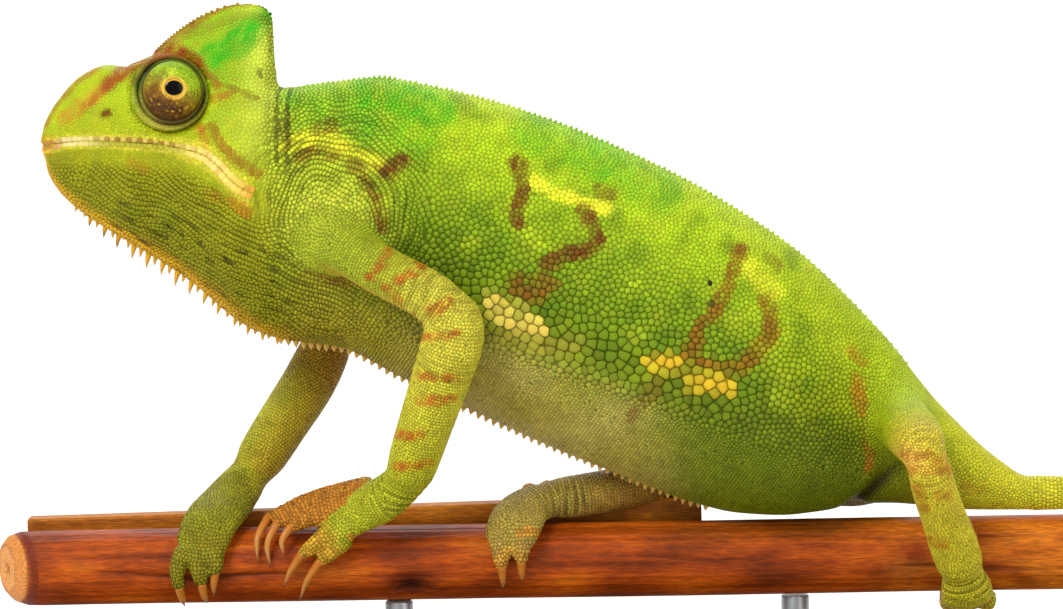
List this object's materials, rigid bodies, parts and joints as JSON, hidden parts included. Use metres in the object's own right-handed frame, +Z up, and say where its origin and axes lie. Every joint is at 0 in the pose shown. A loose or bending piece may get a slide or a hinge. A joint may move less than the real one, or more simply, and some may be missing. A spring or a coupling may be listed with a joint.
{
  "type": "chameleon figure",
  "caption": "Life-size veiled chameleon gripping a cut length of stick with all four feet, its tail coiled, held over a flat base by two short rods.",
  "frame": {"origin": "centre of the underside of the stand's base", "axes": "+X from the snout towards the tail, along the stick; -Y is the animal's left side; +Z up"},
  "size_m": [0.264, 0.1, 0.1533],
  "materials": {
    "skin": "dry granular scales, lime to olive green with brown and yellow marks",
    "toe_skin": "fine scales banded yellow and orange",
    "eye_skin": "fine ringed scales round a wet dark pupil",
    "claw_horn": "smooth horn",
    "stick_wood": "worn bare branch wood, satin",
    "base_wood": "dark oiled hardwood",
    "rod_steel": "brushed"
  },
  "bodies": {
    "root": {"eye_left": "eye_skin", "eye_right": "eye_skin", "head": "skin", "left_foot": "skin", "left_foot_inner_claw_1": "claw_horn", "left_foot_inner_claw_2": "claw_horn", "left_foot_inner_toes": "toe_skin", "left_foot_outer_claw_1": "claw_horn", "left_foot_outer_claw_2": "claw_horn", "left_foot_outer_claw_3": "claw_horn", "left_foot_outer_toes": "toe_skin", "left_forearm": "skin", "left_hand": "skin", "left_hand_inner_claw_1": "claw_horn", "left_hand_inner_claw_2": "claw_horn", "left_hand_inner_claw_3": "claw_horn", "left_hand_inner_toes": "toe_skin", "left_hand_outer_claw_1": "claw_horn", "left_hand_outer_claw_2": "claw_horn", "left_hand_outer_toes": "toe_skin", "left_shank": "skin", "left_thigh": "skin", "left_upper_arm": "skin", "lower_jaw": "skin", "neck": "skin", "perch": "stick_wood", "perch_lath": "stick_wood", "right_foot": "skin", "right_foot_inner_claw_1": "claw_horn", "right_foot_inner_claw_2": "claw_horn", "right_foot_inner_toes": "toe_skin", "right_foot_outer_claw_1": "claw_horn", "right_foot_outer_claw_2": "claw_horn", "right_foot_outer_claw_3": "claw_horn", "right_foot_outer_toes": "toe_skin", "right_forearm": "skin", "right_hand": "skin", "right_hand_inner_claw_1": "claw_horn", "right_hand_inner_claw_2": "claw_horn", "right_hand_inner_claw_3": "claw_horn", "right_hand_inner_toes": "toe_skin", "right_hand_outer_claw_1": "claw_horn", "right_hand_outer_claw_2": "claw_horn", "right_hand_outer_toes": "toe_skin", "right_shank": "skin", "right_thigh": "skin", "right_upper_arm": "skin", "stand_base": "base_wood", "stand_rod_front": "rod_steel", "stand_rod_rear": "rod_steel", "tail_base": "skin", "tail_middle": "skin", "tail_tip": "skin", "trunk": "skin"}
  },
  "joints": []
}
